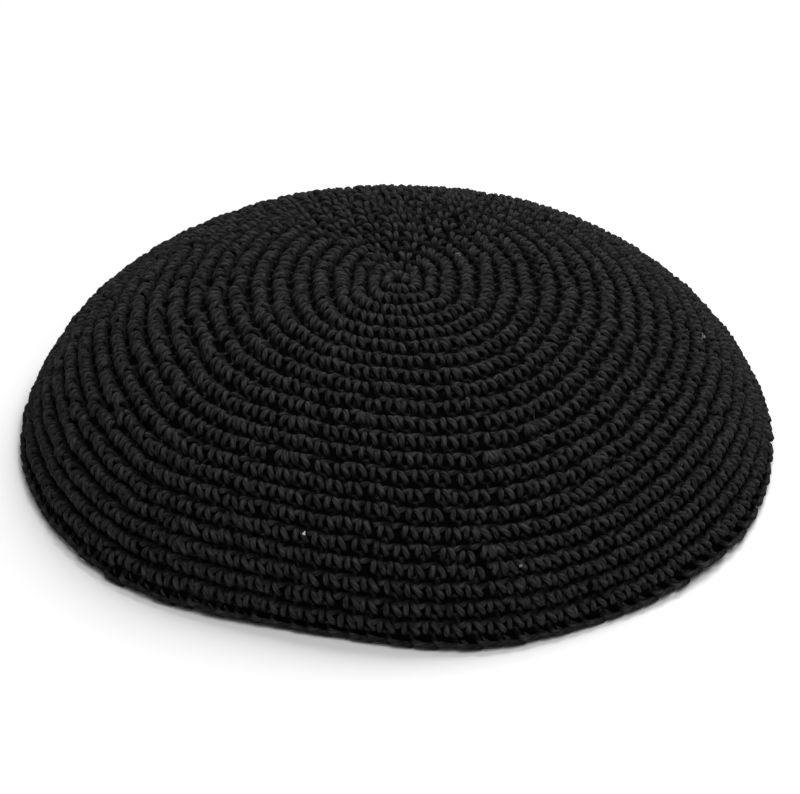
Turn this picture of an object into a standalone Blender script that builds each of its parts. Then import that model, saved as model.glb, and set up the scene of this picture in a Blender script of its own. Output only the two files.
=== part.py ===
"""A kippah: one crocheted skullcap, standing on its rim with the hollow below.

Metres, +Z up, the wearer's forehead towards -Y. The origin is on the surface that the rim rests on, under
the middle of the outline. Angles round the cap are measured from the front, positive towards +X.
"""

import math

import bpy

# Sizes of the cap
RIM_DIAMETER = 0.170
CROWN_HEIGHT = 0.0430
WALL = 0.0028
RIM_ROUNDING = 0.0006

# The dome's section: a small bulge is pointed, a small drop comes down straight at the rim
CROWN_BULGE = 2.85
SIDE_DROP = 0.61

# The rounds of crochet, which show as ribs that run round the cap
ROUNDS = 22
RIB_DEPTH = 0.0010

# Dents and swells of the soft rim, which fade out towards the crown
RIM_SWELLS = (
    # angle, half width, share of the rim's radius outwards, in degrees and shares
    {"angle": -58.0, "half_width": 30.0, "out": -0.006},
    {"angle": -20.0, "half_width": 30.0, "out": -0.038},
    {"angle": 112.0, "half_width": 40.0, "out": 0.010},
    {"angle": 150.0, "half_width": 34.0, "out": 0.033},
    {"angle": -160.0, "half_width": 34.0, "out": 0.012},
    {"angle": -122.0, "half_width": 40.0, "out": 0.008},
)

# How finely the curves are cut up
SEGMENTS = 64
SECTION_SAMPLES = 600
MERGE_DISTANCE = 0.00001

# Black yarn
YARN_COLOUR = (0.012, 0.012, 0.013, 1.0)
YARN_ROUGHNESS = 0.9

RIM_RADIUS = RIM_DIAMETER / 2


def clear_scene():
    for obj in list(bpy.data.objects):
        bpy.data.objects.remove(obj, do_unlink=True)


def section_point(share):
    """A point of the smooth outer section, where share is the share of the rim's radius."""
    drop = max(0.0, 1.0 - share**CROWN_BULGE)
    return share * RIM_RADIUS, CROWN_HEIGHT * drop**SIDE_DROP


def outer_section():
    """The smooth outer section from the crown to the rim as (length along it, radius, height)."""
    points = []
    length = 0.0
    last = section_point(0.0)
    for index in range(SECTION_SAMPLES + 1):
        share = 1.0 - (1.0 - index / SECTION_SAMPLES) ** 2
        point = section_point(share)
        length += math.dist(last, point)
        points.append((length, *point))
        last = point
    return points


def at_length(section, length):
    """The radius and height at this length along the section, with the unit normal that points out."""
    for before, after in zip(section, section[1:]):
        if after[0] >= length:
            break
    step = after[0] - before[0]
    part = (length - before[0]) / step
    radius = before[1] + part * (after[1] - before[1])
    height = before[2] + part * (after[2] - before[2])
    normal = ((before[2] - after[2]) / step, (after[1] - before[1]) / step)
    return radius, height, normal


def offset_point(section, length, inwards):
    radius, height, normal = at_length(section, length)
    return max(0.0, radius - inwards * normal[0]), height - inwards * normal[1]


def cap_profile():
    """The closed section of the cloth: down the ribbed outside, across the rim, and up the plain inside."""
    section = outer_section()
    whole = section[-1][0]
    outside = [(0.0, CROWN_HEIGHT - RIB_DEPTH)]
    for half_round in range(1, 2 * ROUNDS):
        groove = half_round % 2 == 0
        length = whole * half_round / (2 * ROUNDS)
        outside.append(offset_point(section, length, RIB_DEPTH if groove else 0.0))
    rounding = min(RIM_ROUNDING, WALL / 3)
    rim = [
        (RIM_RADIUS, rounding),
        (RIM_RADIUS - rounding, 0.0),
        (RIM_RADIUS - WALL + rounding, 0.0),
        (RIM_RADIUS - WALL, rounding),
    ]
    inside = []
    for crochet_round in range(ROUNDS - 1, 0, -1):
        length = whole * crochet_round / ROUNDS
        inside.append(offset_point(section, length, WALL))
    inside.append((0.0, CROWN_HEIGHT - WALL))
    return outside + rim + inside


def turned_mesh(name, profile):
    """The profile turned round the Z axis with a Screw modifier, as a plain mesh."""
    outline = bpy.data.meshes.new(name + "_profile")
    edges = [(index, index + 1) for index in range(len(profile) - 1)]
    outline.from_pydata([(radius, 0.0, height) for radius, height in profile], edges, [])
    turning = bpy.data.objects.new(name + "_profile", outline)
    bpy.context.scene.collection.objects.link(turning)
    screw = turning.modifiers.new("Turn", "SCREW")
    screw.axis = "Z"
    screw.angle = 2 * math.pi
    screw.steps = SEGMENTS
    screw.render_steps = SEGMENTS
    screw.use_merge_vertices = True
    screw.merge_threshold = MERGE_DISTANCE
    screw.use_smooth_shade = True
    bpy.context.view_layer.update()
    evaluated = turning.evaluated_get(bpy.context.evaluated_depsgraph_get())
    mesh = bpy.data.meshes.new_from_object(evaluated)
    mesh.name = name
    bpy.data.objects.remove(turning, do_unlink=True)
    return mesh


def swell(angle):
    """How far the rim stands out from the circle at this angle, as a share of its radius."""
    total = 0.0
    for row in RIM_SWELLS:
        away = abs((angle - row["angle"] + 180.0) % 360.0 - 180.0)
        if away < row["half_width"]:
            total += row["out"] * (1 + math.cos(math.pi * away / row["half_width"])) / 2
    return total


def shape_soft_rim(mesh):
    """Moves each vertex out or in with the swells of the rim, the less the nearer it is to the crown."""
    for vertex in mesh.vertices:
        radius = math.hypot(vertex.co.x, vertex.co.y)
        angle = math.degrees(math.atan2(vertex.co.x, -vertex.co.y))
        growth = 1 + swell(angle) * (radius / RIM_RADIUS) ** 2
        vertex.co.x *= growth
        vertex.co.y *= growth


def centre_outline(mesh):
    """Brings the middle of the outline over the origin, because the swells differ from side to side."""
    across = [vertex.co.x for vertex in mesh.vertices]
    along = [vertex.co.y for vertex in mesh.vertices]
    middle_x = (min(across) + max(across)) / 2
    middle_y = (min(along) + max(along)) / 2
    for vertex in mesh.vertices:
        vertex.co.x -= middle_x
        vertex.co.y -= middle_y


def yarn_material():
    material = bpy.data.materials.new("black_yarn")
    material.use_nodes = True
    shader = material.node_tree.nodes["Principled BSDF"]
    shader.inputs["Base Color"].default_value = YARN_COLOUR
    shader.inputs["Roughness"].default_value = YARN_ROUGHNESS
    shader.inputs["Metallic"].default_value = 0.0
    return material


def make_crown(collection):
    mesh = turned_mesh("crown", cap_profile())
    shape_soft_rim(mesh)
    centre_outline(mesh)
    mesh.shade_smooth()
    mesh.materials.append(yarn_material())
    crown = bpy.data.objects.new("crown", mesh)
    collection.objects.link(crown)
    return crown


def main():
    clear_scene()
    collection = bpy.data.collections.new("kippah")
    bpy.context.scene.collection.children.link(collection)
    make_crown(collection)


main()
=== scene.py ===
"""The looks of a crocheted kippah: one spiral of yarn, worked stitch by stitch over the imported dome.

Metres, +Z up, the wearer's forehead towards -Y. Angles round the cap are measured from the front, positive
towards +X. A row is one round of the spiral, and rows are counted outwards from the crown. Turns are the
angle in full rounds, which counts on along the spiral, so 3.25 turns lie on the +X side of the fourth round.
"""

import bisect
import math

import bpy
import numpy as np
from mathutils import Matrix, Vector


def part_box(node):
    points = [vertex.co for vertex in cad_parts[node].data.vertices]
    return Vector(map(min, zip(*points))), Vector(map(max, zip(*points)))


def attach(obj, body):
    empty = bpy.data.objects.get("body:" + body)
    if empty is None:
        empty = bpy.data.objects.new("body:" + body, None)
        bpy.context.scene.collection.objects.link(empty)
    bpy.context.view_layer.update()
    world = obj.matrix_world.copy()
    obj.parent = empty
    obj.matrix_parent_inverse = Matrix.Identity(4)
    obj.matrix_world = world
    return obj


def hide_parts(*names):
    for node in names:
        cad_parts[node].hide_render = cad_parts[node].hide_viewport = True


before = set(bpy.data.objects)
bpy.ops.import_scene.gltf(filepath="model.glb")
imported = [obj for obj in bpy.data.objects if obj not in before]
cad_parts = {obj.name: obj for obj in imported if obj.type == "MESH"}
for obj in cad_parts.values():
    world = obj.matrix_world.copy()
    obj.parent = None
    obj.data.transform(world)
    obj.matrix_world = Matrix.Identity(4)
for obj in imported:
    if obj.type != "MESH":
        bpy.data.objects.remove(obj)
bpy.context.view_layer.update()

# The dome's section and the swells of its soft rim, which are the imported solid's own
CROWN_BULGE = 2.85
SIDE_DROP = 0.61
SECTION_SAMPLES = 4000
OUTLINE_SAMPLES = 1440
SLOPE_STEP = 0.0004
RIM_SWELLS = (
    # angle, half width, share of the rim's radius outwards, in degrees and shares
    {"angle": -58.0, "half_width": 30.0, "out": -0.006},
    {"angle": -20.0, "half_width": 30.0, "out": -0.038},
    {"angle": 112.0, "half_width": 40.0, "out": 0.010},
    {"angle": 150.0, "half_width": 34.0, "out": 0.033},
    {"angle": -160.0, "half_width": 34.0, "out": 0.012},
    {"angle": -122.0, "half_width": 40.0, "out": 0.008},
)

# The yarn, the thickness of a layer of it, and how its tube is cut up and smoothed
YARN_RADIUS = 0.00065
LAYER = 0.00082
YARN_SIDES = 6
RINGS_PER_STITCH = 44
SMOOTHINGS = 2

# The spiral of rounds: its first turn, its edges in rows, and the chain that the rim ends with in metres
START_TURN = 0.35
START_EDGE = 0.80
EDGE_OFFSET = 0.48
EDGE_BEND = 6.0
LAST_TURN = 22.5
TAPER_TURNS = 0.12
RING_EDGE = 0.22
RING_GROWTH = 0.55
MIDDLE_ROWS = 0.03
RIM_SAMPLES = 721
RIM_CHAIN = 0.0025

# How the rounds wander up and down the dome, in degrees and rows
ROW_WAVES = (
    {"angle": 0.0, "half_width": 110.0, "row": 12.0, "half_rows": 10.0, "down": 0.33},
    {"angle": 180.0, "half_width": 100.0, "row": 8.0, "half_rows": 9.0, "down": 0.30},
    {"angle": 95.0, "half_width": 60.0, "row": 5.0, "half_rows": 14.0, "down": -0.60},
    {"angle": -90.0, "half_width": 65.0, "row": 5.0, "half_rows": 14.0, "down": -0.70},
    {"angle": 29.0, "half_width": 38.0, "row": 14.0, "half_rows": 12.0, "down": 0.62},
    {"angle": -50.0, "half_width": 26.0, "row": 15.0, "half_rows": 8.0, "down": 0.30},
)
FULL_WAVE_ROW = 3.0

# How far the rim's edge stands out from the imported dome's, all round and in places, in metres and degrees
RIM_FLARE = 0.0009
RIM_FLARE_ROWS = 1.6
RIM_FLARES = (
    {"angle": -52.0, "half_width": 40.0, "out": 0.0011},
    {"angle": -8.0, "half_width": 26.0, "out": -0.0019},
    {"angle": 16.0, "half_width": 16.0, "out": 0.0010},
    {"angle": 54.0, "half_width": 34.0, "out": 0.0016},
)

# How wide a stitch is at its round, in rows from the crown and metres
STITCH_WIDTHS = (
    {"row": 1.0, "width": 0.0046},
    {"row": 4.0, "width": 0.0044},
    {"row": 8.0, "width": 0.00425},
    {"row": 14.0, "width": 0.00425},
    {"row": 16.5, "width": 0.0045},
    {"row": 19.5, "width": 0.0043},
    {"row": 21.0, "width": 0.0046},
    {"row": 22.5, "width": 0.0050},
)

# Where the yarn goes in one single crochet. Along is in stitch widths from the hole it is worked into, up is
# in rows from the inner edge of its round to the outer one, and out is in layers from the middle of the cloth
NECK = 0.35
USUAL_WIDTH = 0.0045
USUAL_HEIGHT = 0.0045
ROUTE_SAMPLES = 40
STITCH_ROUTE = (
    {"along": -0.46, "up": 0.80, "out": -1.3},
    {"along": -0.24, "up": 0.42, "out": -1.3},
    {"along": -0.09, "up": 0.12, "out": -1.1},
    {"along": -0.06, "up": 0.01, "out": -0.4},
    {"along": -0.05, "up": 0.02, "out": 0.5},
    {"along": -0.06, "up": 0.12, "out": 1.15},
    {"along": -0.07, "up": 0.27, "out": 1.35},
    {"along": -0.08, "up": 0.42, "out": 1.15},
    {"along": -0.09, "up": 0.52, "out": 0.55},
    {"along": -0.08, "up": 0.57, "out": -0.2},
    {"along": -0.02, "up": 0.60, "out": -0.85},
    {"along": 0.10, "up": 0.61, "out": -1.15},
    {"along": 0.23, "up": 0.62, "out": -1.2},
    {"along": 0.36, "up": 0.61, "out": -1.15},
    {"along": 0.50, "up": 0.60, "out": -0.85},
    {"along": 0.58, "up": 0.58, "out": -0.2},
    {"along": 0.56, "up": 0.52, "out": 0.55},
    {"along": 0.49, "up": 0.42, "out": 1.15},
    {"along": 0.40, "up": 0.27, "out": 1.35},
    {"along": 0.31, "up": 0.12, "out": 1.15},
    {"along": 0.25, "up": 0.02, "out": 0.5},
    {"along": 0.22, "up": 0.01, "out": -0.4},
    {"along": 0.21, "up": 0.12, "out": -1.1},
    {"along": 0.27, "up": 0.42, "out": -1.3},
    {"along": 0.33, "up": 0.72, "out": -1.2},
    {"along": 0.31, "up": 0.96, "out": -0.5},
    {"along": 0.29, "up": 1.10, "out": 0.15},
    {"along": 0.33, "up": 1.17, "out": 0.7},
    {"along": 0.43, "up": 1.13, "out": 1.0},
    {"along": 0.54, "up": 1.03, "out": 0.75},
    {"along": 0.65, "up": 0.97, "out": 0.1},
    {"along": 0.84, "up": 0.97, "out": -0.4},
    {"along": 1.06, "up": 0.98, "out": -0.5},
    {"along": 1.24, "up": 1.02, "out": -0.8},
    {"along": 1.20, "up": 1.08, "out": -1.15},
    {"along": 0.94, "up": 1.10, "out": -1.3},
    {"along": 0.66, "up": 1.00, "out": -1.35},
)
# The same in the last round, whose chain has no round worked into it and rolls under the rim, and whose
# shallow outs also give it painted shade
LEG_POINTS = 25
RIM_ROUTE = STITCH_ROUTE[:LEG_POINTS] + (
    {"along": 0.30, "up": 0.90, "out": -0.5},
    {"along": 0.29, "up": 1.00, "out": 0.2},
    {"along": 0.35, "up": 1.05, "out": 0.85},
    {"along": 0.46, "up": 1.06, "out": 1.1},
    {"along": 0.59, "up": 1.09, "out": 0.8},
    {"along": 0.77, "up": 1.12, "out": 0.5},
    {"along": 0.98, "up": 1.13, "out": 0.45},
    {"along": 1.18, "up": 1.15, "out": 0.4},
    {"along": 1.38, "up": 1.18, "out": 0.1},
    {"along": 1.44, "up": 1.22, "out": -0.25},
    {"along": 1.24, "up": 1.26, "out": -0.4},
    {"along": 0.98, "up": 1.25, "out": -0.7},
    {"along": 0.70, "up": 1.10, "out": -1.2},
)

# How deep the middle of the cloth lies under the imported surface, and a depth that is well below the cloth
SINK = max(point["out"] for point in STITCH_ROUTE) * LAYER + YARN_RADIUS
UNDER_CLOTH = 0.001

# How much flatter the chain lies between the rounds at the back
BACK_CHAIN = {"angle": 180.0, "half_width": 135.0, "up": (0.95, 1.08), "share": 0.62}

# Painted shade on deep strands, in layers from the middle of the cloth: up to where a strand is painted dark
# and from where it has its full tone, on the outside and on the inside, and the share of the tone that a dark
# one has
LIT_OUTSIDE = (0.0, 1.1)
LIT_INSIDE = (-0.95, -1.3)
PAINTED_SHADE_SHARE = 0.20

# The yarn's plies, which turn this much for each thickness of yarn, and the share of the tone between them,
# which is painted shade in the grooves
PLIES = 3
PLY_TWIST = 0.2
PLY_SHADE = 0.50

# The relief of the plies and of the fibres on them
PLY_HEIGHT = 0.6
FIBRE_HEIGHT = 0.5
FIBRE_STRETCH = 0.5
FIBRE_SCALE = 5.0
FIBRE_DETAIL = 3.0
RELIEF = 0.00035

# The uneven dye and the dull surface
DYE_SCALE = 480.0
DYE_DETAIL = 2.0
DYE_NOISE = (0.33, 0.67)
DYE_TONES = (0.0103, 0.0303)
DYE_BLUE = 1.03
YARN_ROUGHNESS = 0.75
YARN_SPECULAR = 0.05

# How unevenly the stitches were worked: the spreads of their places in stitch widths, rows and shares, how
# the holes of the round before draw them, which share of a stitch it takes to change over to the next one,
# and how far and over how many rings the yarn wobbles
SEED = 11
SPREAD_ALONG = 0.07
SPREAD_UP = 0.06
SPREAD_OUT = 0.11
SPREAD_YARN = 0.08
HOLE_PULL = 0.50
PULL_EASE = 0.40
SHARED_HOLE = 0.30
CALM_TURNS = (3.0, 8.0)
CALM_SHARE = 0.35
CARRY_SHARE = 0.12
WOBBLE = 0.00010
WOBBLE_RINGS = 9
THICKNESS_RINGS = 7
NOISE_SPREAD = 0.6

# Loose fibre ends that stand off the yarn where its painted shade leaves it nearly its full tone, in metres
FUZZ_COUNT = 1400
FUZZ_LIT = 0.9
FUZZ_LENGTHS = (0.0005, 0.0013)
FUZZ_RADIUS = 0.000022
FUZZ_SIDES = 3
FUZZ_RINGS = 5
FUZZ_FLOOR = 0.0003
FUZZ_SPREAD = 0.45
FUZZ_BEND = 0.35
FUZZ_TAPER = 0.6
FUZZ_TONE = 0.02

# Specks of light lint caught in the stitches: degrees, share of the way from the crown to the rim, metres
LINT = (
    {"angle": -15.5, "share": 0.772, "size": 0.00025, "tone": 0.46},
    {"angle": 19.75, "share": 0.8325, "size": 0.00028, "tone": 0.15},
    {"angle": 126.5, "share": 0.1600, "size": 0.00034, "tone": 0.12},
    {"angle": 91.6, "share": 0.6880, "size": 0.00044, "tone": 0.17},
)
LINT_RINGS = 40
LINT_RADIUS = 0.00009
LINT_SMOOTHINGS = 2

# The matted fibres that close the gaps between the strands, as a sheet far darker than the yarn whose tone is
# painted shade, in layers from the middle of the cloth
MAT_TOP = -0.42
MAT_BOTTOM = -0.80
MAT_EDGE_ROWS = 0.22
MAT_MIDDLE = 0.012
MAT_CLEARANCE = 0.0004
MAT_SEGMENTS = 96
MAT_RINGS = 44
MAT_PAINTED_SHADE_TONE = 0.0016

# Pieces
STITCHES_PER_PIECE = 360

# The pale floor
FLOOR_SIZE = 8
FLOOR_TONE = 0.62
FLOOR_ROUGHNESS = 0.9

# The soft studio light: white surroundings and two large lamps, in metres and watts
STUDIO_STRENGTH = 0.30
LAMPS = (
    {"name": "key", "place": (0.22, 0.36, 0.66), "size": 0.5, "energy": 7.5},
    {"name": "front", "place": (0.08, -0.45, 0.62), "size": 0.4, "energy": 4.3},
)
LAMP_TARGET = (0, 0, 0.02)

# The photograph's view
RIM_TO_CAMERA = 1.02
CAMERA_RISE = math.radians(32.8)
CAMERA_ROLL = math.radians(0.69)
CAMERA_LENS = 202.1
SENSOR_WIDTH = 36.0
CAMERA_REACH = 20
AIM_RIGHT = 0.00064
AIM_UP = 0.00942


def bump(away, half_width):
    """A soft bump of height 1, which is 0 from half its width on."""
    return (1 + np.cos(np.pi * np.clip(away / half_width, -1, 1))) / 2


def rising(values, start, end):
    """A soft step from 0 at the start to 1 at the end."""
    part = np.clip((values - start) / (end - start), 0, 1)
    return part * part * (3 - 2 * part)


def turned_away(angles, angle):
    """How many degrees these angles, in radians, are away from this one, in degrees."""
    return (np.degrees(angles) - angle + 180) % 360 - 180


def bumps_round(rows, angles):
    """How far these rows' bumps reach out at these angles, in the rows' own unit."""
    return sum(row["out"] * bump(turned_away(angles, row["angle"]), row["half_width"]) for row in rows)


def swell(angles):
    """How far the rim stands out from the circle at these angles, as a share of its radius."""
    return bumps_round(RIM_SWELLS, angles)


class Dome:
    """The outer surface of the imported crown, worked out from its box."""

    def __init__(self, node):
        low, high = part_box(node)
        angles = np.linspace(0, 2 * math.pi, OUTLINE_SAMPLES)
        reach = 1 + swell(angles)
        across = reach * np.sin(angles)
        along = -reach * np.cos(angles)
        self.radius = (high[0] - low[0]) / (across.max() - across.min())
        self.height = high[2] - low[2]
        self.centre = (low[0] - self.radius * across.min(), low[1] - self.radius * along.min())
        share = 1 - (1 - np.linspace(0, 1, SECTION_SAMPLES)) ** 2
        self.radii = self.radius * share
        self.heights = self.height * np.maximum(0, 1 - share**CROWN_BULGE) ** SIDE_DROP
        steps = np.hypot(np.diff(self.radii), np.diff(self.heights))
        self.lengths = np.concatenate([[0], np.cumsum(steps)])
        self.reach = self.lengths[-1]

    def section(self, lengths):
        """The plain radius and the height at these lengths down from the crown."""
        below = np.maximum(0, lengths - self.reach)
        radii = np.interp(lengths, self.lengths, self.radii)
        heights = np.interp(lengths, self.lengths, self.heights) - below
        return radii, heights

    def point(self, lengths, angles, out):
        """Points at these lengths down from the crown and angles round it, and this far off the surface."""
        radii, heights = self.section(lengths)
        before = self.section(np.maximum(0, lengths - SLOPE_STEP))
        after = self.section(lengths + SLOPE_STEP)
        fall = before[1] - after[1]
        spread = after[0] - before[0]
        slope = np.hypot(fall, spread)
        grown = radii * (1 + swell(angles) * (radii / self.radius) ** 2)
        flat = grown + out * fall / slope
        x = self.centre[0] + flat * np.sin(angles)
        y = self.centre[1] - flat * np.cos(angles)
        return np.stack([x, y, heights + out * spread / slope], -1)


def outer_edge(turn):
    """How many rows out from the crown the outer edge of the round lies at this turn."""
    if turn > LAST_TURN - TAPER_TURNS:
        left = max(0.0, (LAST_TURN - turn) / TAPER_TURNS)
        return outer_edge(turn - 1) + left
    onward = math.exp(EDGE_BEND * (turn + EDGE_OFFSET))
    return math.log(onward + math.exp(EDGE_BEND * START_EDGE)) / EDGE_BEND


def inner_edge(turn):
    """The edge that the round at this turn is worked into: the round before, or the first ring of yarn."""
    if turn < START_TURN + 1:
        return RING_EDGE + RING_GROWTH * max(0.0, turn - START_TURN)
    return outer_edge(turn - 1)


def rim_rows(turn):
    """How many rows there are from the crown to the rim at the angle of this turn."""
    return outer_edge(LAST_TURN - (LAST_TURN - turn) % 1.0)


def rim_rows_at(turns):
    """The same for many turns at once."""
    samples = np.linspace(0, 1, RIM_SAMPLES)
    whole = np.array([rim_rows(sample) for sample in samples])
    return np.interp(np.mod(turns, 1.0), samples, whole)


def row_length(dome, rows, turns):
    """How far down from the crown this many rows lie at these turns."""
    angles = 2 * math.pi * turns
    waves = sum(
        wave["down"]
        * bump(turned_away(angles, wave["angle"]), wave["half_width"])
        * bump(rows - wave["row"], wave["half_rows"])
        for wave in ROW_WAVES
    )
    waves = waves * np.clip(rows / FULL_WAVE_ROW, 0, 1)
    return (dome.reach - RIM_CHAIN) * (rows + waves) / rim_rows_at(turns)


def flare(rows, turns):
    """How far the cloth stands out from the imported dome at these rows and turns."""
    angles = 2 * math.pi * turns
    near_rim = np.clip((rows - rim_rows_at(turns)) / RIM_FLARE_ROWS + 1, 0, 1)
    return near_rim * near_rim * (RIM_FLARE + bumps_round(RIM_FLARES, angles))


def stitch_turns(dome, turn):
    """How much of a turn one stitch takes up here."""
    row = outer_edge(turn)
    rows = [entry["row"] for entry in STITCH_WIDTHS]
    widths = [entry["width"] for entry in STITCH_WIDTHS]
    width = np.interp(row, rows, widths)
    length = (dome.reach - RIM_CHAIN) * row / rim_rows(turn)
    radius = dome.section(length)[0]
    return float(width / (2 * math.pi * radius))


def place_stitches(dome):
    """The turn and width of each stitch, and how far it leans to the hole of the round before."""
    stitches = []
    holes = []
    turn = START_TURN
    last_hole = None
    pull = 0.0
    while turn < LAST_TURN:
        width = stitch_turns(dome, turn)
        lean = 0.0
        target = turn - 1 - NECK * width
        if holes and target > holes[0] - width:
            index = bisect.bisect_left(holes, target)
            near = [k for k in (index - 1, index) if 0 <= k < len(holes)]
            hole = min(near, key=lambda k: abs(holes[k] - target))
            lean = holes[hole] - target
            if hole == last_hole:
                lean += SHARED_HOLE * width
            last_hole = hole
        lean *= float(np.interp(turn, CALM_TURNS, (CALM_SHARE, 1)))
        pull += PULL_EASE * (HOLE_PULL * lean - pull)
        neck = turn + pull
        stitches.append({"turn": neck, "width": width, "lean": lean - pull})
        if len(stitches) > 1:
            holes.append((stitches[-2]["turn"] + neck) / 2)
        if last_hole is not None and last_hole + 1 < len(holes):
            width = min(width, holes[last_hole + 1] - holes[last_hole])
        turn += width
    return stitches


def even_route(route):
    """One stitch's route as evenly spaced points on a smooth curve that runs on into the next stitch."""
    scale = (USUAL_WIDTH, USUAL_HEIGHT, LAYER)
    points = np.array([(point["along"], point["up"], point["out"]) for point in route]) * scale
    count = len(points)
    following = np.array([USUAL_WIDTH, 0, 0])
    wrapped = np.vstack([points[-1:] - following, points, points[:2] + following])
    spots = np.linspace(0, count, ROUTE_SAMPLES * count + 1)
    index = np.minimum(spots.astype(int), count - 1)
    part = (spots - index)[:, None]
    # A cubic between each point and the next one, which at both follows the line of their neighbours
    p0, p1, p2, p3 = wrapped[index], wrapped[index + 1], wrapped[index + 2], wrapped[index + 3]
    curve = p1 + 0.5 * part * (
        p2 - p0 + part * (2 * p0 - 5 * p1 + 4 * p2 - p3 + part * (3 * p1 - p0 - 3 * p2 + p3))
    )
    steps = np.linalg.norm(np.diff(curve, axis=0), axis=1)
    length = np.concatenate([[0], np.cumsum(steps)])
    wanted = np.linspace(0, length[-1], RINGS_PER_STITCH, endpoint=False)
    even = np.stack([np.interp(wanted, length, curve[:, axis]) for axis in range(3)], -1)
    return even / scale


def carried_over(values, count):
    """One value for each ring from one for each stitch, which turns softly into the next stitch's."""
    part = np.arange(count) / count
    late = np.clip((part - (1 - CARRY_SHARE)) / (2 * CARRY_SHARE), 0, 1)
    early = np.clip((CARRY_SHARE - part) / (2 * CARRY_SHARE), 0, 1)
    after = np.concatenate([values[1:], values[-1:]])
    before = np.concatenate([values[:1], values[:-1]])
    stay = 1 - late - early
    return (values[:, None] * stay + after[:, None] * late + before[:, None] * early).ravel()


def soft_noise(rng, count, spacing):
    """Noise that changes slowly along the yarn, between about -1 and 1."""
    knots = rng.normal(0, NOISE_SPREAD, count // spacing + 3)
    spots = np.arange(count) / spacing
    index = spots.astype(int)
    part = rising(spots - index, 0, 1)
    return knots[index] * (1 - part) + knots[index + 1] * part


def yarn_path(dome, stitches, rng):
    """The middle line of the whole yarn, how much of its tone it keeps under the painted shade of deep
    strands, and the way out of the cloth there.
    """
    count = RINGS_PER_STITCH
    turn = np.array([stitch["turn"] for stitch in stitches])
    width = np.array([stitch["width"] for stitch in stitches])
    lean = np.array([stitch["lean"] for stitch in stitches])
    at_rim = np.repeat(turn > LAST_TURN - 1, count)
    rim_routes = np.tile(even_route(RIM_ROUTE), (len(stitches), 1))
    other_routes = np.tile(even_route(STITCH_ROUTE), (len(stitches), 1))
    routes = np.where(at_rim[:, None], rim_routes, other_routes)
    outside = routes[:, 2] > 0
    along_spread = rng.normal(0, SPREAD_ALONG, len(stitches))
    up_spread = rng.normal(0, SPREAD_UP, len(stitches))
    out_spread = rng.normal(0, SPREAD_OUT, len(stitches))
    along = routes[:, 0] - NECK + carried_over(along_spread, count)
    up = routes[:, 1] + carried_over(up_spread, count)
    out = routes[:, 2] * (1 + np.where(outside, carried_over(out_spread, count), 0))
    turns = np.repeat(turn, count) + along * np.repeat(width, count) + (1 - up) * carried_over(lean, count)
    inner = np.array([inner_edge(t) for t in turns])
    outer = np.array([outer_edge(min(t, LAST_TURN)) for t in turns])
    rows = inner + up * (outer - inner)
    lengths = row_length(dome, np.maximum(rows, MIDDLE_ROWS), turns)
    angles = 2 * math.pi * turns
    back = bump(turned_away(angles, BACK_CHAIN["angle"]), BACK_CHAIN["half_width"])
    chain = rising(routes[:, 1], *BACK_CHAIN["up"]) * (outside & ~at_rim)
    out = out * (1 - BACK_CHAIN["share"] * back * chain)
    path = dome.point(lengths, angles, out * LAYER - SINK + flare(rows, turns))
    outwards = (path - dome.point(lengths, angles, -SINK - UNDER_CLOTH)) * np.sign(out)[:, None]
    outwards /= np.linalg.norm(outwards, axis=1)[:, None]
    for axis in range(3):
        path[:, axis] += WOBBLE * soft_noise(rng, len(path), WOBBLE_RINGS)
    for _ in range(SMOOTHINGS):
        path[1:-1] = path[1:-1] / 2 + (path[:-2] + path[2:]) / 4
    path[:, 2] = np.maximum(path[:, 2], YARN_RADIUS)
    # Painted shade: strands that lie deep in the cloth get a darker colour, worked out from their depth alone
    lit = np.maximum(rising(out, *LIT_OUTSIDE), rising(out, *LIT_INSIDE))
    return path, lit, outwards


def tube_rings(path, radii, corners):
    """The points of a round tube along the path, whose rings don't twist."""
    directions = np.gradient(path, axis=0)
    directions /= np.linalg.norm(directions, axis=1)[:, None]
    sides = np.empty_like(path)
    side = Vector(directions[0]).orthogonal().normalized()
    for index, direction in enumerate(directions.tolist()):
        direction = Vector(direction)
        side = (side - direction * side.dot(direction)).normalized()
        sides[index] = side
    ups = np.cross(directions, sides)
    angles = np.arange(corners) * 2 * math.pi / corners
    ring = sides[:, None] * np.cos(angles)[None, :, None] + ups[:, None] * np.sin(angles)[None, :, None]
    return path[:, None] + ring * radii[:, None, None]


def tube_faces(count, sides, first=0):
    """The faces of a closed tube with this many rings, as corner numbers that start with the first."""
    start = first + np.arange(count - 1)[:, None] * sides
    here = np.arange(sides)[None, :]
    beside = (here + 1) % sides
    quads = np.stack([start + here, start + beside, start + sides + beside, start + sides + here], -1)
    faces = quads.reshape(-1, 4).tolist()
    faces.append([first + side for side in reversed(range(sides))])
    faces.append([first + (count - 1) * sides + side for side in range(sides)])
    return faces


def tube_mesh(name, rings, lengths):
    """A closed tube through the rings, with a UV map of length along the yarn and the way round it."""
    count, sides = rings.shape[:2]
    mesh = bpy.data.meshes.new(name)
    mesh.from_pydata(rings.reshape(-1, 3).tolist(), [], tube_faces(count, sides))
    uv = mesh.uv_layers.new(name="yarn")
    along = np.stack([lengths[:-1], lengths[:-1], lengths[1:], lengths[1:]], -1)[:, None, :]
    here = np.arange(sides)
    around = np.stack([here, here + 1, here + 1, here], -1)[None] / sides
    along, around = np.broadcast_arrays(along, around)
    coordinates = np.zeros((len(mesh.loops), 2), np.float32)
    coordinates[: along.size, 0] = along.ravel()
    coordinates[: along.size, 1] = around.ravel()
    uv.data.foreach_set("uv", coordinates.ravel())
    mesh.shade_smooth()
    return mesh


def add_object(name, data):
    obj = bpy.data.objects.new(name, data)
    bpy.context.scene.collection.objects.link(obj)
    return obj


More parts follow.
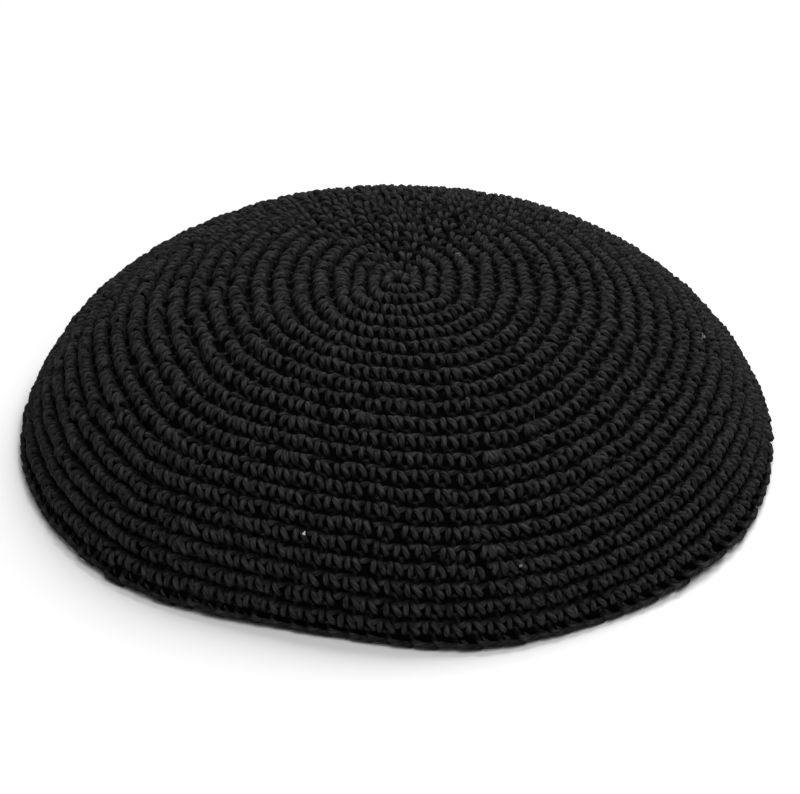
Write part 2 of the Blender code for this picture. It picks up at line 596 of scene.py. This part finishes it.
class Nodes:
    """A short way to write down a material's nodes."""

    def __init__(self, material):
        material.use_nodes = True
        self.tree = material.node_tree
        self.shader = self.tree.nodes["Principled BSDF"]

    def add(self, kind, inputs=None, **settings):
        node = self.tree.nodes.new(kind)
        for name, value in settings.items():
            setattr(node, name, value)
        for name, value in (inputs or {}).items():
            self.set(node.inputs[name], value)
        return node

    def set(self, socket, value):
        if isinstance(value, bpy.types.NodeSocket):
            self.tree.links.new(value, socket)
        else:
            socket.default_value = value

    def math(self, operation, *values):
        node = self.add("ShaderNodeMath", operation=operation)
        for index, value in enumerate(values):
            self.set(node.inputs[index], value)
        return node.outputs[0]


def yarn_material():
    """Dull black yarn of three plies, with fine fibres along the plies, a slightly uneven dye, and painted
    shade between the plies and on the strands deep in the cloth.
    """
    material = bpy.data.materials.new("black_yarn_crochet")
    nodes = Nodes(material)
    uv = nodes.add("ShaderNodeUVMap", uv_map="yarn")
    parts = nodes.add("ShaderNodeSeparateXYZ", {"Vector": uv.outputs[0]})
    along = parts.outputs[0]
    around = parts.outputs[1]
    lay = nodes.math("MULTIPLY_ADD", along, PLY_TWIST, around)
    ply = nodes.math("ABSOLUTE", nodes.math("SINE", nodes.math("MULTIPLY", lay, PLIES * math.pi)))
    angle = nodes.math("MULTIPLY", lay, 2 * math.pi)
    place = nodes.add("ShaderNodeCombineXYZ", {
        "X": nodes.math("COSINE", angle),
        "Y": nodes.math("SINE", angle),
        "Z": nodes.math("MULTIPLY", along, FIBRE_STRETCH),
    })
    fibres = nodes.add("ShaderNodeTexNoise", {
        "Vector": place.outputs[0],
        "Scale": FIBRE_SCALE,
        "Detail": FIBRE_DETAIL,
    })
    ply_height = nodes.math("MULTIPLY", ply, PLY_HEIGHT)
    fibre_height = nodes.math("MULTIPLY", fibres.outputs[0], FIBRE_HEIGHT)
    height = nodes.math("ADD", ply_height, fibre_height)
    relief = nodes.add("ShaderNodeBump", {"Height": height, "Strength": 1.0, "Distance": RELIEF})
    where = nodes.add("ShaderNodeTexCoord").outputs["Object"]
    patches = nodes.add("ShaderNodeTexNoise", {"Vector": where, "Scale": DYE_SCALE, "Detail": DYE_DETAIL})
    dye = nodes.add("ShaderNodeMapRange", {
        "Value": patches.outputs[0],
        "From Min": DYE_NOISE[0],
        "From Max": DYE_NOISE[1],
        "To Min": DYE_TONES[0],
        "To Max": DYE_TONES[1],
    })
    # Painted shade: strands deep in the cloth are darkened in the colour through the lit attribute
    lit = nodes.add("ShaderNodeAttribute", attribute_name="lit")
    share = nodes.math("MULTIPLY_ADD", lit.outputs["Fac"], 1 - PAINTED_SHADE_SHARE, PAINTED_SHADE_SHARE)
    # Painted shade in the grooves between the plies
    shade = nodes.math("MULTIPLY_ADD", ply, 1 - PLY_SHADE, PLY_SHADE)
    tone = nodes.math("MULTIPLY", nodes.math("MULTIPLY", dye.outputs[0], share), shade)
    colour = nodes.add("ShaderNodeCombineColor", {
        "Red": tone,
        "Green": tone,
        "Blue": nodes.math("MULTIPLY", tone, DYE_BLUE),
    })
    shader = nodes.shader
    nodes.set(shader.inputs["Base Color"], colour.outputs[0])
    nodes.set(shader.inputs["Normal"], relief.outputs[0])
    nodes.set(shader.inputs["Roughness"], YARN_ROUGHNESS)
    nodes.set(shader.inputs["Specular IOR Level"], YARN_SPECULAR)
    return material


def make_crochet(dome):
    """The whole spiral as a few pieces that follow each other along the yarn."""
    rng = np.random.default_rng(SEED)
    stitches = place_stitches(dome)
    path, lit, outwards = yarn_path(dome, stitches, rng)
    radii = YARN_RADIUS * (1 + SPREAD_YARN * soft_noise(rng, len(path), THICKNESS_RINGS))
    steps = np.linalg.norm(np.diff(path, axis=0), axis=1)
    lengths = np.concatenate([[0], np.cumsum(steps)]) / (2 * YARN_RADIUS)
    rings = tube_rings(path, radii, YARN_SIDES)
    material = yarn_material()
    piece_count = math.ceil(len(stitches) / STITCHES_PER_PIECE)
    pieces = []
    for number in range(piece_count):
        first = number * len(path) // piece_count
        last = (number + 1) * len(path) // piece_count
        part = slice(first, min(last + 1, len(path)))
        name = f"crochet_{number + 1}"
        mesh = tube_mesh(name, rings[part], lengths[part])
        shade = mesh.attributes.new("lit", "FLOAT", "POINT")
        shade.data.foreach_set("value", np.repeat(lit[part], YARN_SIDES).astype(np.float32))
        mesh.materials.append(material)
        pieces.append(add_object(name, mesh))
    pieces.append(make_fuzz(path, lit, outwards, rng))
    return pieces


def plain_material(name, tone):
    """A dull grey of this tone, for fibres that are too small to show more."""
    material = bpy.data.materials.new(name)
    nodes = Nodes(material)
    nodes.set(nodes.shader.inputs["Base Color"], (tone, tone, tone, 1))
    nodes.set(nodes.shader.inputs["Roughness"], 1.0)
    nodes.set(nodes.shader.inputs["Specular IOR Level"], 0.0)
    return material


def make_fuzz(path, lit, outwards, rng):
    """Loose fibre ends that stand off the yarn where it is not painted dark as a deep strand, as thin bent
    hairs in one mesh.
    """
    spots = rng.choice(np.nonzero(lit > FUZZ_LIT)[0], FUZZ_COUNT, replace=False)
    points = []
    faces = []
    share = np.linspace(0, 1, FUZZ_RINGS)[:, None]
    for spot in spots:
        length = YARN_RADIUS + rng.uniform(*FUZZ_LENGTHS)
        direction = outwards[spot] + rng.normal(0, FUZZ_SPREAD, 3)
        direction /= np.linalg.norm(direction)
        bend = rng.normal(0, FUZZ_BEND, 3)
        hair = path[spot] + length * (share * direction + share * share * bend)
        hair[:, 2] = np.maximum(hair[:, 2], FUZZ_FLOOR)
        rings = tube_rings(hair, FUZZ_RADIUS * (1 - FUZZ_TAPER * share[:, 0]), FUZZ_SIDES)
        faces.extend(tube_faces(FUZZ_RINGS, FUZZ_SIDES, len(points) * FUZZ_RINGS * FUZZ_SIDES))
        points.append(rings.reshape(-1, 3))
    mesh = bpy.data.meshes.new("crochet_fuzz")
    mesh.from_pydata(np.concatenate(points).tolist(), [], faces)
    mesh.shade_smooth()
    mesh.materials.append(plain_material("black_yarn_fuzz", FUZZ_TONE))
    return add_object("crochet_fuzz", mesh)


def make_lint(dome):
    """Light specks, each of them one fibre that is crumpled into a small ball on top of the stitches."""
    rng = np.random.default_rng(SEED + 1)
    specks = []
    for number, speck in enumerate(LINT):
        angle = math.radians(speck["angle"])
        place = dome.point(np.array([speck["share"] * dome.reach]), np.array([angle]), np.array([0.0]))[0]
        crumpled = rng.normal(0, 1, (LINT_RINGS + 2 * LINT_SMOOTHINGS, 3))
        for _ in range(LINT_SMOOTHINGS):
            crumpled = (crumpled[:-2] + crumpled[1:-1] + crumpled[2:]) / 3
        crumpled *= speck["size"] / np.linalg.norm(crumpled, axis=1).mean()
        fibre = place + crumpled
        name = f"lint_{number + 1}"
        rings = tube_rings(fibre, np.full(len(fibre), LINT_RADIUS), YARN_SIDES)
        mesh = tube_mesh(name, rings, np.arange(len(fibre)))
        mesh.materials.append(plain_material(name, speck["tone"]))
        specks.append(add_object(name, mesh))
    return specks


def make_fibre_mat(dome):
    """The matted fibres in the middle of the cloth as one thin closed sheet from the crown to the rim, whose
    dark tone is painted shade in the gaps between the strands.
    """
    turns = np.linspace(0, 1, MAT_SEGMENTS, endpoint=False)
    shares = np.linspace(MAT_MIDDLE, 1, MAT_RINGS)
    points = []
    for layer, order in ((MAT_TOP, shares), (MAT_BOTTOM, shares[::-1])):
        for share in order:
            rows = share * (rim_rows_at(turns) + MAT_EDGE_ROWS)
            lengths = row_length(dome, rows, turns)
            ring = dome.point(lengths, 2 * math.pi * turns, layer * LAYER - SINK + flare(rows, turns))
            ring[:, 2] = np.maximum(ring[:, 2], MAT_CLEARANCE)
            points.append(ring)
    faces = []
    for ring in range(2 * MAT_RINGS - 1):
        for segment in range(MAT_SEGMENTS):
            here = ring * MAT_SEGMENTS + segment
            beside = ring * MAT_SEGMENTS + (segment + 1) % MAT_SEGMENTS
            faces.append((here, here + MAT_SEGMENTS, beside + MAT_SEGMENTS, beside))
    last_ring = (2 * MAT_RINGS - 1) * MAT_SEGMENTS
    faces.append(tuple(range(MAT_SEGMENTS)))
    faces.append(tuple(reversed(range(last_ring, last_ring + MAT_SEGMENTS))))
    mesh = bpy.data.meshes.new("crochet_fibres_and_painted_shade")
    mesh.from_pydata(np.concatenate(points).tolist(), [], faces)
    mesh.shade_smooth()
    # Painted shade: far darker than the yarn itself, for the gaps between the strands
    mesh.materials.append(plain_material("fibre_mat_painted_shade", MAT_PAINTED_SHADE_TONE))
    return add_object("crochet_fibres_and_painted_shade", mesh)


def make_floor():
    bpy.ops.mesh.primitive_plane_add(size=FLOOR_SIZE)
    floor = bpy.context.object
    floor.name = "floor"
    material = bpy.data.materials.new("floor")
    nodes = Nodes(material)
    nodes.set(nodes.shader.inputs["Base Color"], (FLOOR_TONE, FLOOR_TONE, FLOOR_TONE, 1))
    nodes.set(nodes.shader.inputs["Roughness"], FLOOR_ROUGHNESS)
    floor.data.materials.append(material)


def aim(obj, target):
    direction = Vector(target) - obj.location
    obj.rotation_euler = direction.to_track_quat("-Z", "Y").to_euler()


def make_lights():
    world = bpy.data.worlds.new("studio")
    bpy.context.scene.world = world
    world.use_nodes = True
    background = world.node_tree.nodes["Background"]
    background.inputs["Color"].default_value = (1, 1, 1, 1)
    background.inputs["Strength"].default_value = STUDIO_STRENGTH
    for lamp in LAMPS:
        light = bpy.data.lights.new(lamp["name"], "AREA")
        light.size = lamp["size"]
        light.energy = lamp["energy"]
        obj = add_object(lamp["name"], light)
        obj.location = lamp["place"]
        aim(obj, LAMP_TARGET)


def make_camera(dome):
    """The camera of the photograph, which looks down on the cap from the front."""
    camera = bpy.data.cameras.new("camera")
    camera.lens = CAMERA_LENS
    camera.sensor_width = SENSOR_WIDTH
    camera.clip_end = CAMERA_REACH
    obj = add_object("camera", camera)
    back = Vector((0, -math.cos(CAMERA_RISE), math.sin(CAMERA_RISE)))
    up = Vector((0, math.sin(CAMERA_RISE), math.cos(CAMERA_RISE)))
    rim_centre = Vector((*dome.centre, 0))
    obj.location = rim_centre + back * RIM_TO_CAMERA
    aim(obj, rim_centre + up * AIM_UP + Vector((AIM_RIGHT, 0, 0)))
    obj.rotation_euler.rotate_axis("Z", CAMERA_ROLL)
    bpy.context.scene.camera = obj


def main():
    dome = Dome("crown")
    for piece in [*make_crochet(dome), make_fibre_mat(dome)]:
        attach(piece, "root")
        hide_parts("crown")
    for speck in make_lint(dome):
        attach(speck, "root")
    make_floor()
    make_lights()
    make_camera(dome)
    bpy.context.scene.view_settings.view_transform = "Standard"


main()
